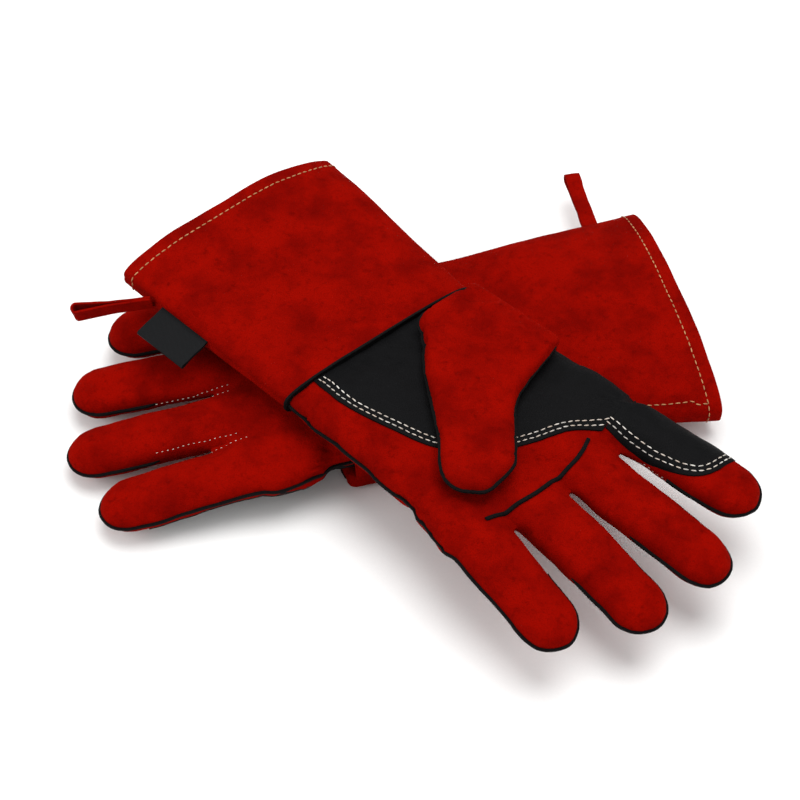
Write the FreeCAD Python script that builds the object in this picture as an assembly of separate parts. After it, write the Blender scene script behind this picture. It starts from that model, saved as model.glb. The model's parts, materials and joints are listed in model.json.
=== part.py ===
"""A pair of suede welding gloves: the left glove lies palm up across the right one, which lies palm down.

Each glove is built flat in its own hand frame and then laid in place. In the hand frame the origin is the
middle of the wrist seam, +Y runs to the fingertips, X runs from the thumb side (-) to the little-finger
side (+), and Z = 0 is the plane of the side seams. Both gloves have the same outline from above, because one
is the mirror image of the other and is turned over, so only the side that the palm faces changes.
Lengths are in millimetres and angles in degrees.
"""
import FreeCAD
import Part
import math
import os

V = FreeCAD.Vector
PLAN_UP = V(0, 0, 1)
BIG = 600.0                     # larger than either glove: the size of cutting boxes

# Leather and sewing
LEATHER = 1.5                   # split cowhide
LINING = 1.2                    # fleece in the hand, twill in the gauntlet
PATCH = 1.0                     # black reinforcement laid on the palm leather
WELT = 1.6                      # thickness of the black strip sewn into a seam
WELT_LIP = 1.4                  # how far that strip stands out of the seam
BODY_GAP = 0.5                  # clearance between pieces that move past each other
SIDE_ROOM = 1.6                 # extra width cut from the hand beside each knuckle, so that no web is left

# Hand
WRIST_HALF_WIDTH = 64.0
HAND_HALF_HEIGHT = 10.0
HAND_LENGTH = 136.0             # from the wrist seam to the middle knuckle
PAST_KNUCKLES = 6.0             # how far the hand's block goes past it, before the knuckles are cut

# Gauntlet
GAUNTLET_LENGTH = 130.0
HEM_DEPTH = 12.0                # leather turned in at the mouth
MOUTH_EDGE = 12.0               # radius of the mouth's side folds

# Fingers: knuckle centre across and along the hand, and length from the knuckle to the tip
FINGER_HALF_WIDTH = 17.3
FINGER_GAP = 1.4                # between two fingers at their knuckles
FINGER_PITCH = 2 * FINGER_HALF_WIDTH + FINGER_GAP
ROW_CENTRE = 4.0                # middle of the row of fingers, towards the little finger
FINGERS = {
    "index": (ROW_CENTRE - 1.5 * FINGER_PITCH, HAND_LENGTH - 4.0, 83.0),
    "middle": (ROW_CENTRE - 0.5 * FINGER_PITCH, HAND_LENGTH, 90.0),
    "ring": (ROW_CENTRE + 0.5 * FINGER_PITCH, HAND_LENGTH - 3.0, 84.0),
    "little": (ROW_CENTRE + 1.5 * FINGER_PITCH, HAND_LENGTH - 10.0, 66.0),
}
WELT_START = 0.5                # share of the finger's length where the lip starts between fingers
CURL = 60.0                     # largest bend towards the palm, from straight
BEND_BACK = 20.0                # largest bend away from the palm

# Thumb: its outline seen from above, folded flat over the palm, as corners with their radii
THUMB_OUTLINE = [
    (-60.0, 6.0, 2.0), (-24.0, 6.0, 14.0), (57.0, HAND_LENGTH - 41.0, 15.0), (41.0, HAND_LENGTH - 22.0, 12.0),
    (18.0, HAND_LENGTH - 22.0, 16.0), (-16.0, HAND_LENGTH - 48.0, 30.0), (-60.0, HAND_LENGTH - 54.0, 4.0),
]
THUMB_THICKNESS = 12.5
THUMB_HOLE = (-52.0, 24.0, 30.0, 34.0)    # low corner and size of the way into the thumb

# Reinforcement patch: its edge over the palm, and over the index finger from its knuckle
PATCH_PALM_EDGE = [
    (41.0, -12.0), (46.0, 20.0), (40.0, HAND_LENGTH - 86.0), (32.0, HAND_LENGTH - 60.0),
    (4.0, HAND_LENGTH - 31.0), (-20.0, HAND_LENGTH - 18.0), (-28.0, HAND_LENGTH + 14.0),
]
PATCH_FINGER_EDGE = [(15.0, -20.0), (15.0, 10.0), (13.5, 33.0), (8.0, 50.0), (-2.0, 57.0), (-22.0, 60.0)]

# Seam across the palm at the base of the middle and ring fingers
BASE_SEAM = [(-31.0, HAND_LENGTH - 19.0), (4.0, HAND_LENGTH - 20.0), (39.5, HAND_LENGTH - 28.0)]
BASE_SEAM_WIDTH = 3.0

# Hanging loop and label, both folded strips sewn into the little-finger side seam
STRIP_GAP = 0.6                 # from the leather to a strip's sewn end, so that the strip can swing
LOOP_WIDTH = 9.0
LOOP_LENGTH = 44.0
LOOP_THICKNESS = 1.4
LOOP_EYE = 8.0
LOOP_FROM_MOUTH = 26.0
LABEL_WIDTH = 36.0
LABEL_LENGTH = 20.0
LABEL_THICKNESS = 0.6
LABEL_EYE = 3.0
LABEL_FROM_MOUTH = 52.0
LABEL_DROOP = 15.0

# How each glove lies: wrist centre, heading of the fingers, pitch (tips down) and roll (little finger down).
# The wrist seam may sit across the hand at a slant, and the mouth is shifted and turned from straight behind.
GLOVES = {
    "right": {
        "palm": -1,
        "origin": (34.1, 27.0, 24.0),
        "heading": -165.5, "pitch": 0.0, "roll": 0.0,
        "wrist": {"shift": 5.0, "yaw": 0.0},
        "mouth": {"half_width": 81.0, "rise_up": 24.0, "rise_down": 14.0, "shift": (4.0, -7.0), "yaw": -1.0},
        "splay": {"index": 0.0, "middle": 3.0, "ring": 6.0, "little": 9.0},
        "droop": {"index": 8.0, "middle": 8.0, "ring": 8.0, "little": 9.0},
        "loop": {"swing": -10.0, "droop": 0.0, "roll": 0.0},
    },
    "left": {
        "palm": 1,
        "origin": (-14.5, 4.5, 49.5),
        "heading": -40.2, "pitch": 2.0, "roll": 0.0,
        "wrist": {"shift": -5.0, "yaw": -10.0},
        "mouth": {"half_width": 73.0, "rise_up": 18.0, "rise_down": 20.0, "shift": (-20.0, 2.0),
                  "yaw": -10.0},
        "splay": {"index": -2.0, "middle": 3.0, "ring": 7.0, "little": 11.0},
        "droop": {"index": 3.0, "middle": 5.0, "ring": 7.0, "little": 9.0},
        "loop": {"swing": -45.0, "droop": 10.0, "roll": 80.0},
    },
}


def placed(shape, placement):
    """A copy of shape, carried by placement."""
    copy = shape.copy()
    copy.Placement = placement.multiply(copy.Placement)
    return copy


def turn(axis, degrees, at=V()):
    return FreeCAD.Placement(at, FreeCAD.Rotation(axis, degrees))


def box(x0, x1, y0, y1, z0, z1):
    return Part.makeBox(x1 - x0, y1 - y0, z1 - z0, V(x0, y0, z0))


def slab(z0, z1):
    """Everything between two heights."""
    return box(-BIG, BIG, -BIG, BIG, z0, z1)


def section(half_width, edge, rise_up, rise_down, placement):
    """A closed oval in the XZ plane: round sides of radius edge, joined by a crown above and one below."""
    corner = half_width - edge
    left_low, left_high = V(-corner, 0, -edge), V(-corner, 0, edge)
    right_low, right_high = V(corner, 0, -edge), V(corner, 0, edge)

    def crown(start, rise, end):
        if abs(rise) - edge < 0.01:
            return Part.LineSegment(start, end).toShape()
        return Part.Arc(start, V(0, 0, rise), end).toShape()

    edges = [
        Part.Arc(left_low, V(-half_width, 0, 0), left_high).toShape(),
        crown(left_high, rise_up, right_high),
        Part.Arc(right_high, V(half_width, 0, 0), right_low).toShape(),
        crown(right_low, -rise_down, left_low),
    ]
    return placed(Part.Wire(edges), placement)


def loft(sections):
    return Part.makeLoft(sections, True, True)


def wrist_frame(glove):
    """Where the wrist seam's middle lies in the hand frame, and how it is turned."""
    return turn(PLAN_UP, glove["wrist"]["yaw"], V(glove["wrist"]["shift"], 0, 0))


def knuckle_span():
    """The middle and the half width of the row of fingers."""
    across = [x for x, _, _ in FINGERS.values()]
    return (max(across) + min(across)) / 2, (max(across) - min(across)) / 2 + FINGER_HALF_WIDTH


def hand_block(glove, inset):
    """The hand's solid outline, shrunk by inset, from the wrist seam past the knuckles."""
    high = HAND_HALF_HEIGHT - inset
    centre, half_width = knuckle_span()
    start = wrist_frame(glove).multiply(turn(PLAN_UP, 0, V(0, WELT / 2, 0)))
    end = turn(PLAN_UP, 0, V(centre, HAND_LENGTH + PAST_KNUCKLES, 0))
    wrist = section(WRIST_HALF_WIDTH - inset, high, high, high, start)
    return loft([wrist, section(half_width - inset, high, high, high, end)])


def gauntlet_block(glove, inset):
    """The gauntlet's solid outline, shrunk by inset, from the wrist seam to its mouth."""
    high = HAND_HALF_HEIGHT - inset
    mouth = glove["mouth"]
    start = wrist_frame(glove).multiply(turn(PLAN_UP, 0, V(0, -WELT / 2, 0)))
    wrist = section(WRIST_HALF_WIDTH - inset, high, high, high, start)
    end = section(mouth["half_width"] - inset, MOUTH_EDGE - inset, mouth["rise_up"] - inset,
                  mouth["rise_down"] - inset, mouth_frame(glove))
    return loft([wrist, end])


def mouth_frame(glove):
    """Where the middle of the mouth lies in the hand frame, and how it is turned."""
    shift_x, shift_z = glove["mouth"]["shift"]
    return turn(PLAN_UP, glove["mouth"]["yaw"], V(shift_x, -GAUNTLET_LENGTH, shift_z))


def wrist_ring(glove, outset, inset):
    """A ring around the wrist seam, as thick along the glove as a welt."""
    def puck(grow):
        high = HAND_HALF_HEIGHT + grow
        wire = section(WRIST_HALF_WIDTH + grow, high, high, high, turn(PLAN_UP, 0, V(0, -WELT / 2, 0)))
        return Part.Face(wire).extrude(V(0, WELT, 0))
    return placed(puck(outset).cut(puck(-inset)), wrist_frame(glove))


def finger_block(length, inset):
    """A finger's solid outline in its own frame, shrunk by inset, from behind the knuckle to the tip."""
    half_width = FINGER_HALF_WIDTH - inset
    high = HAND_HALF_HEIGHT - inset
    core = half_width - high
    tip = length - FINGER_HALF_WIDTH
    bar = section(half_width, high, high, high, turn(PLAN_UP, 0, V(0, -2 * HAND_HALF_HEIGHT, 0)))
    bar = Part.Face(bar).extrude(V(0, tip + 2 * HAND_HALF_HEIGHT, 0))
    profile = Part.Wire([
        Part.LineSegment(V(0, tip, -high), V(core, tip, -high)).toShape(),
        Part.Arc(V(core, tip, -high), V(half_width, tip, 0), V(core, tip, high)).toShape(),
        Part.LineSegment(V(core, tip, high), V(0, tip, high)).toShape(),
        Part.LineSegment(V(0, tip, high), V(0, tip, -high)).toShape(),
    ])
    puck = Part.Face(profile).revolve(V(0, tip, 0), PLAN_UP, 360)
    return bar.fuse(puck).removeSplitter()


def knuckle_radius():
    return HAND_HALF_HEIGHT + PATCH


def knuckle_cylinder(radius, half_length):
    return Part.makeCylinder(radius, 2 * half_length, V(-half_length, 0, 0), V(1, 0, 0))


def base_trim():
    """What is cut from a finger behind its knuckle, so that it ends in a half round about the hinge."""
    behind = box(-BIG / 4, BIG / 4, -60, 0, -60, 60)
    return behind.cut(knuckle_cylinder(knuckle_radius(), BIG / 3))


def knuckle_room(palm, side_room):
    """The room that a finger sweeps, taken out of the hand: about the hinge, and along its bends."""
    radius = knuckle_radius() + BODY_GAP
    low_x = -FINGER_PITCH / 2 - SIDE_ROOM - side_room[0]
    high_x = FINGER_PITCH / 2 + SIDE_ROOM + side_room[1]
    room = Part.makeCylinder(radius, high_x - low_x, V(low_x, 0, 0), V(1, 0, 0))
    for bend in (palm * CURL, palm * CURL / 2, 0.0, -palm * BEND_BACK):
        reach = box(low_x, high_x, 0, 70, -radius, radius)
        room = room.fuse(placed(reach, turn(V(1, 0, 0), bend)))
    return room


def finger_frame(glove, name, with_droop=True):
    """The placement of a finger's own frame in the hand frame."""
    x, y, _ = FINGERS[name]
    frame = turn(PLAN_UP, -glove["splay"][name], V(x, y, 0))
    if with_droop:
        frame = frame.multiply(turn(V(1, 0, 0), -glove["droop"][name]))
    return frame


def plan_solid(points, smooth):
    """A closed outline seen from above, made into a tall solid. The points in smooth become one curve."""
    curve = Part.BSplineCurve()
    curve.interpolate([V(x, y, -40) for x, y in smooth])
    corners = [curve.toShape()]
    rest = [smooth[-1]] + points + [smooth[0]]
    for (x0, y0), (x1, y1) in zip(rest, rest[1:]):
        corners.append(Part.LineSegment(V(x0, y0, -40), V(x1, y1, -40)).toShape())
    return Part.Face(Part.Wire(corners)).extrude(V(0, 0, 80))


def palm_side(palm, from_height=WELT / 2):
    return slab(from_height, 60) if palm > 0 else slab(-60, -from_height)


def halves(shell, palm):
    """A hollow shell split along the seam plane, with room for the welt: the back and the palm piece."""
    return shell.common(palm_side(-palm)), shell.common(palm_side(palm))


def thumb_hole(side, from_height):
    """What is cut away for the way into the thumb, from a height upwards or downwards."""
    x0, y0, width, depth = THUMB_HOLE
    low, high = (from_height, BIG / 10) if side > 0 else (-BIG / 10, from_height)
    return box(x0, x0 + width, y0, y0 + depth, low, high)


def seam_slab():
    return slab(-WELT / 2, WELT / 2)


def hand_parts(glove, rooms):
    palm = glove["palm"]
    outer = hand_block(glove, 0)
    inner = hand_block(glove, LEATHER)
    shell = outer.cut(inner)
    hole = thumb_hole(palm, 0)
    back, front = halves(shell, palm)
    patch = hand_block(glove, -PATCH).cut(outer).common(palm_side(palm))
    beyond = [(-110, PATCH_PALM_EDGE[-1][1]), (-110, PATCH_PALM_EDGE[0][1])]
    patch = patch.common(plan_solid(beyond, PATCH_PALM_EDGE))
    lining = inner.cut(hand_block(glove, LEATHER + LINING))
    welts = hand_block(glove, -WELT_LIP).cut(inner).common(seam_slab())
    seam = base_seam(glove)
    parts = {
        "hand_back": back,
        "palm_panel": front.cut(hole).cut(seam),
        "palm_patch": patch.cut(hole),
        "hand_lining": lining.cut(hole),
        "index_side_welt": welts.common(box(-BIG, 0, -BIG, BIG, -5, 5)),
        "little_side_welt": welts.common(box(0, BIG, -BIG, BIG, -5, 5)),
        "finger_base_welt": seam.cut(patch),
    }
    for name, shape in parts.items():
        for room in rooms:
            shape = shape.cut(room)
        parts[name] = shape
    return parts


def base_seam(glove):
    """The welt across the palm where the front of the middle and ring fingers is sewn on."""
    half = BASE_SEAM_WIDTH / 2
    low = [(x, y - half) for x, y in BASE_SEAM]
    high = [(x, y + half) for x, y in reversed(BASE_SEAM)]
    band = plan_solid(high, low)
    layer = hand_block(glove, -WELT_LIP / 2).cut(hand_block(glove, LEATHER))
    return layer.common(palm_side(glove["palm"])).common(band)


def finger_parts(glove, name):
    palm = glove["palm"]
    _, _, length = FINGERS[name]
    outer = finger_block(length, 0)
    inner = finger_block(length, LEATHER)
    trim = base_trim()
    back, front = halves(outer.cut(inner).cut(trim), palm)
    lip = finger_block(length, -WELT_LIP).cut(outer).common(seam_slab()).cut(trim)
    start = WELT_START * length
    own_side = (FINGER_PITCH - BODY_GAP) / 2
    if name != "little":
        lip = lip.cut(box(0, 40, -60, start, -5, 5)).cut(box(own_side, 40, start, length, -5, 5))
    if name != "index":
        lip = lip.cut(box(-40, 0, -60, start, -5, 5)).cut(box(-40, -own_side, start, length, -5, 5))
    core = outer.cut(inner).cut(trim).common(seam_slab())
    parts = {"back": back, "front": front, "welt": core.fuse(lip).removeSplitter()}
    if name == "index":
        cover = finger_block(length, -PATCH).cut(outer).cut(trim).common(palm_side(palm))
        parts["patch"] = cover.common(plan_solid([(-40, 60), (-40, -20)], PATCH_FINGER_EDGE))
    frame = finger_frame(glove, name)
    return {part: placed(shape, frame) for part, shape in parts.items()}


def rounded_outline(corners):
    """A closed wire through corners given as (x, y, radius), with each corner rounded by its radius."""
    edges = []
    tangents = []
    for i, (x, y, radius) in enumerate(corners):
        here = V(x, y, 0)
        back = (V(*corners[i - 1][:2], 0) - here).normalize()
        ahead = (V(*corners[(i + 1) % len(corners)][:2], 0) - here).normalize()
        half_angle = back.getAngle(ahead) / 2
        reach = radius / math.tan(half_angle)
        middle = here + (back + ahead).normalize() * (radius / math.sin(half_angle) - radius)
        tangents.append((here + back * reach, middle, here + ahead * reach))
    for i, (start, middle, end) in enumerate(tangents):
        edges.append(Part.Arc(start, middle, end).toShape())
        edges.append(Part.LineSegment(end, tangents[(i + 1) % len(tangents)][0]).toShape())
    return Part.Wire(edges)


def thumb_block(inset, low, high):
    """The thumb's solid outline, shrunk by inset all round, between two heights."""
    wire = rounded_outline(THUMB_OUTLINE)
    if inset:
        wire = wire.makeOffset2D(-inset)
    return Part.Face(wire).extrude(V(0, 0, high - low)).translated(V(0, 0, low))


def thumb_heights(palm):
    """Lowest and highest level of the folded thumb, on the palm's side."""
    near = HAND_HALF_HEIGHT + PATCH + BODY_GAP
    far = near + THUMB_THICKNESS
    return (near, far) if palm > 0 else (-far, -near)


def thumb_parts(glove):
    palm = glove["palm"]
    low, high = thumb_heights(palm)
    middle = (low + high) / 2
    shell = thumb_block(0, low, high).cut(thumb_block(LEATHER, low + LEATHER, high - LEATHER))
    hole = thumb_hole(-palm, middle)
    upper = shell.common(slab(middle + WELT / 2, 60))
    lower = shell.common(slab(-60, middle - WELT / 2))
    outside, inside = (upper, lower) if palm > 0 else (lower, upper)
    ring = thumb_block(-WELT_LIP, middle - WELT / 2, middle + WELT / 2)
    ring = ring.cut(thumb_block(LEATHER, low, high)).common(box(-60.0, BIG, -BIG, BIG, -60, 60))
    return {"thumb_outside": outside, "thumb_inside": inside.cut(hole), "thumb_welt": ring}


def gauntlet_parts(glove):
    palm = glove["palm"]
    inner = gauntlet_block(glove, LEATHER)
    above, below = split_gauntlet(gauntlet_block(glove, 0).cut(inner), glove)
    lining = inner.cut(gauntlet_block(glove, LEATHER + LINING))
    hem_band = placed(box(-150, 150, -30, HEM_DEPTH, -80, 80), mouth_frame(glove))
    return {
        "gauntlet_palm_panel": above if palm > 0 else below,
        "gauntlet_back_panel": below if palm > 0 else above,
        "gauntlet_lining": lining.cut(hem_band),
        "cuff_hem": lining.common(hem_band),
        "wrist_welt": wrist_ring(glove, WELT_LIP, LEATHER),
    }


def split_gauntlet(shell, glove):
    """The gauntlet cut along its side seams, which run from the wrist's seam plane to the mouth's."""
    slope = math.degrees(math.atan2(-glove["mouth"]["shift"][1], GAUNTLET_LENGTH))
    seams = turn(V(1, 0, 0), slope)
    return shell.common(placed(slab(0, 120), seams)), shell.common(placed(slab(-120, 0), seams))


def folded_strip(width, length, thickness, eye):
    """A strip folded back on itself: sewn ends at the origin, the fold at +X, its eye running along Y."""
    radius = eye / 2
    end = length - radius - thickness
    root = thickness * 1.1

    def teardrop(grow):
        start = root - grow if grow else 0.0
        high = V(0, -width / 2, thickness + 0.02) if grow else V(root, -width / 2, 0.01)
        low = V(0, -width / 2, -thickness - 0.02) if grow else V(root, -width / 2, -0.01)
        reach = radius + grow
        top, bottom = V(end, -width / 2, reach), V(end, -width / 2, -reach)
        tip = V(end + reach, -width / 2, 0)
        wire = Part.Wire([
            Part.LineSegment(low, high).toShape(),
            Part.LineSegment(high, top).toShape(),
            Part.Arc(top, tip, bottom).toShape(),
            Part.LineSegment(bottom, low).toShape(),
        ])
        return Part.Face(wire).extrude(V(0, width, 0))

    return teardrop(thickness).cut(teardrop(0))


def strip_frame(glove, from_mouth, gap):
    """Where a folded strip is sewn into the little-finger side seam, clear of it by gap, +X outwards."""
    far = mouth_frame(glove).multVec(V(glove["mouth"]["half_width"], 0, 0))
    near = wrist_frame(glove).multVec(V(WRIST_HALF_WIDTH, 0, 0))
    along = (near - far).normalize()
    outwards = math.degrees(math.atan2(-along.x, along.y))
    frame = turn(PLAN_UP, outwards, far + along * from_mouth)
    return frame.multiply(turn(PLAN_UP, 0, V(gap, 0, 0)))


def loop_frame(glove):
    """Where the hanging loop's sewn ends lie in the hand frame, and how the loop points from there."""
    lie = glove["loop"]
    flat_half_width = LOOP_WIDTH / 2 * math.cos(math.radians(lie["roll"]))
    corner = flat_half_width * math.sin(math.radians(abs(lie["swing"])))
    gap = STRIP_GAP + LOOP_THICKNESS + corner
    frame = strip_frame(glove, LOOP_FROM_MOUTH, gap).multiply(turn(PLAN_UP, lie["swing"]))
    return frame.multiply(turn(V(0, 1, 0), lie["droop"])).multiply(turn(V(1, 0, 0), lie["roll"]))


def label_frame(glove):
    """Where the label's sewn ends lie in the hand frame, and how it droops from there."""
    return strip_frame(glove, LABEL_FROM_MOUTH, STRIP_GAP).multiply(turn(V(0, 1, 0), LABEL_DROOP))


def glove_frame(glove):
    """Where the hand frame lies in the pair's frame."""
    frame = turn(PLAN_UP, glove["heading"] - 90.0, V(*glove["origin"]))
    frame = frame.multiply(turn(V(1, 0, 0), -glove["pitch"]))
    return frame.multiply(turn(V(0, 1, 0), glove["roll"]))


def glove_parts(glove):
    outer_side = {"index": (8.0, 0.0), "little": (0.0, 8.0)}
    rooms = []
    for name in FINGERS:
        room = knuckle_room(glove["palm"], outer_side.get(name, (0.0, 0.0)))
        rooms.append(placed(room, finger_frame(glove, name, with_droop=False)))
    parts = hand_parts(glove, rooms)
    parts.update(gauntlet_parts(glove))
    parts.update(thumb_parts(glove))
    loop = folded_strip(LOOP_WIDTH, LOOP_LENGTH, LOOP_THICKNESS, LOOP_EYE)
    parts["hanging_loop"] = placed(loop, loop_frame(glove))
    for name in FINGERS:
        for part, shape in finger_parts(glove, name).items():
            parts[f"{name}_finger_{part}"] = shape
    if glove["palm"] > 0:
        label = folded_strip(LABEL_WIDTH, LABEL_LENGTH, LABEL_THICKNESS, LABEL_EYE)
        parts["label"] = placed(label, label_frame(glove))
    return parts


def pair_parts():
    """Every piece of both gloves, moved so that the origin is the middle of the footprint, on the surface."""
    solids = {}
    for side, glove in GLOVES.items():
        frame = glove_frame(glove)
        for name, shape in glove_parts(glove).items():
            solids[f"{side}_{name}"] = placed(shape, frame)
    whole = Part.makeCompound(list(solids.values())).optimalBoundingBox(True, False)
    to_origin = V(-whole.Center.x, -whole.Center.y, -whole.ZMin)
    return {node: solid.translated(to_origin) for node, solid in solids.items()}, to_origin


def main():
    os.makedirs("parts", exist_ok=True)
    solids, _ = pair_parts()
    for node, solid in solids.items():
        print(node, len(solid.Solids), solid.isValid(), round(solid.Volume, 1))
        solid.exportStep(f"parts/{node}.step")


if __name__ == "__main__":
    main()
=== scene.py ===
import bmesh
import bpy
import json
import math
import numpy as np
from mathutils import Matrix, Vector, noise
from mathutils.bvhtree import BVHTree


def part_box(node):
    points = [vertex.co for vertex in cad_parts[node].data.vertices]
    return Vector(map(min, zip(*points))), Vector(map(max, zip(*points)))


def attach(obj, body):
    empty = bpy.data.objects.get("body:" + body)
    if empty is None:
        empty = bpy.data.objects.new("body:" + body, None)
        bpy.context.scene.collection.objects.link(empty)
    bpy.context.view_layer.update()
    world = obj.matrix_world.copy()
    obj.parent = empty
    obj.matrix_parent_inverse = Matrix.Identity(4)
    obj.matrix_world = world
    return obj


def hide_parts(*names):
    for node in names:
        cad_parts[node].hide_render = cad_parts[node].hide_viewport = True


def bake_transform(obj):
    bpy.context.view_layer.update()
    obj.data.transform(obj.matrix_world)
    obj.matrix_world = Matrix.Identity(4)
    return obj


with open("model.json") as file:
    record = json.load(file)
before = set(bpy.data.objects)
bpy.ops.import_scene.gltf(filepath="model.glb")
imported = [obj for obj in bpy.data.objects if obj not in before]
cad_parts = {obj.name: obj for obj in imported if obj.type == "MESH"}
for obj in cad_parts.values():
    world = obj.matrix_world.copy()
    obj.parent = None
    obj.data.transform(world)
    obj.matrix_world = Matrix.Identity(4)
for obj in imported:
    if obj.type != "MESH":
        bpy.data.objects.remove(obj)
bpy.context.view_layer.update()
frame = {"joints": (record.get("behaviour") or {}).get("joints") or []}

bl_info = {
    "name": "Welding gloves",
    "version": (1, 0, 0),
    "blender": (4, 5, 0),
    "location": "View3D > Sidebar > Gloves",
    "description": "Makes a pair of lined suede welding gloves around their packed frame",
    "category": "Object",
}

MM = 0.001                      # the frame is in metres, and the glove patterns are in millimetres
FINGERS = ("index", "middle", "ring", "little")
SHARP = math.radians(50.0)      # edges sharper than this keep their crease
GAUNTLET_LENGTH = 130.0
HAND_TAPER = 142.0              # where the hand's outline would be as wide as the row of fingers
TIP_RADIUS = 17.0
SPLIT_AT = -3.0                 # a finger's own leather starts here, from its knuckle
SWELL = 1.5                     # how far the sewn skins swell past their cut outline
SEWN_IN = 1.6                   # how deep a strip reaches into its seam
SEAM_STEP = 2.5                 # between two points along a seam
KNUCKLE_BEND = 17.0             # a length along a finger past its split, worked out in blended(); no leather bends with it
HEM_FOLD = 1.5                  # radius of the fold at the cuff
WELL_OUTSIDE = 60.0             # a height that every skin is below
THUMB_FLOOR = 12.2              # from the seams' plane to the side of the folded thumb that faces the palm
made = {}                       # what one operator leaves for the next: skins to sew onto


# ---------------------------------------------------------------- sizes and colours

def length(name, description, default):
    """A size in millimetres that a user may change."""
    return bpy.props.FloatProperty(name=name, description=description, default=default, min=0.0)


def colour(name, description, default):
    return bpy.props.StringProperty(name=name, description=description, default=default)


class GlovePattern(bpy.types.PropertyGroup):
    """Sizes of the cut pieces, in millimetres."""
    leather: length("Leather", "Thickness of the suede", 1.5)
    lining: length("Lining", "Thickness of the lining", 1.2)
    welt: length("Welt", "Thickness of the strip sewn into the seams", 1.6)
    welt_lip: length("Welt lip", "How far that strip stands out of a seam", 1.5)
    patch: length("Patch", "Thickness of the palm reinforcement", 1.0)
    finger_half_width: length("Finger half width", "Half of a finger's width", 17.4)
    index_length: length("Index finger", "Knuckle to fingertip", 83.5)
    middle_length: length("Middle finger", "Knuckle to fingertip", 90.5)
    ring_length: length("Ring finger", "Knuckle to fingertip", 84.5)
    little_length: length("Little finger", "Knuckle to fingertip", 66.5)
    hand_half_height: length("Hand half height", "Half of the hand's thickness where it lies flat", 10.0)
    wrist_half_width: length("Wrist half width", "Half of the wrist seam's width", 64.0)
    thumb_thickness: length("Thumb thickness", "Thickness of the folded thumb", 13.0)
    hem_depth: length("Hem depth", "Leather turned in at the cuff", 12.0)
    hem_stitch: length("Hem stitching", "From the cuff's edge to its stitching", 6.5)
    stitch: length("Stitch", "Length of one stitch", 3.0)
    stitch_gap: length("Stitch gap", "Space between two stitches", 1.0)
    thread: length("Thread", "Thickness of the thread", 0.75)


class GloveColours(bpy.types.PropertyGroup):
    """Colours of the finishes, as sRGB hex values."""
    suede: colour("Suede", "Dyed suede where the nap lies flat", "#860701")
    suede_deep: colour("Suede, deep", "Dyed suede where the nap is brushed up", "#690401")
    grain: colour("Grain leather", "Black palm reinforcement", "#0A0A0B")
    raw_edge: colour("Raw edge", "Cut edge of the black strips", "#4A4643")
    hem_thread: colour("Hem thread", "Thread at the cuffs", "#C08A5A")
    seam_thread: colour("Seam thread", "Thread on the palm and the fingers", "#D8D4CC")
    twill: colour("Twill", "Lining of the gauntlet", "#5E1A14")
    fleece: colour("Fleece", "Lining of the hand", "#B9AD98")
    ribbon: colour("Ribbon", "Woven label", "#0D0E0F")
    floor: colour("Floor", "Plain studio floor", "#F4F4F3")


def pattern():
    return bpy.context.scene.glove_pattern


def colours():
    return bpy.context.scene.glove_colours


# ---------------------------------------------------------------- how each glove lies

def joint(name):
    return next(j for j in frame["joints"] if j["name"] == name)


def ease(t):
    """Goes smoothly from 0 to 1 as t does."""
    t = np.clip(t, 0.0, 1.0)
    return t * t * (3.0 - 2.0 * t)


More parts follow.
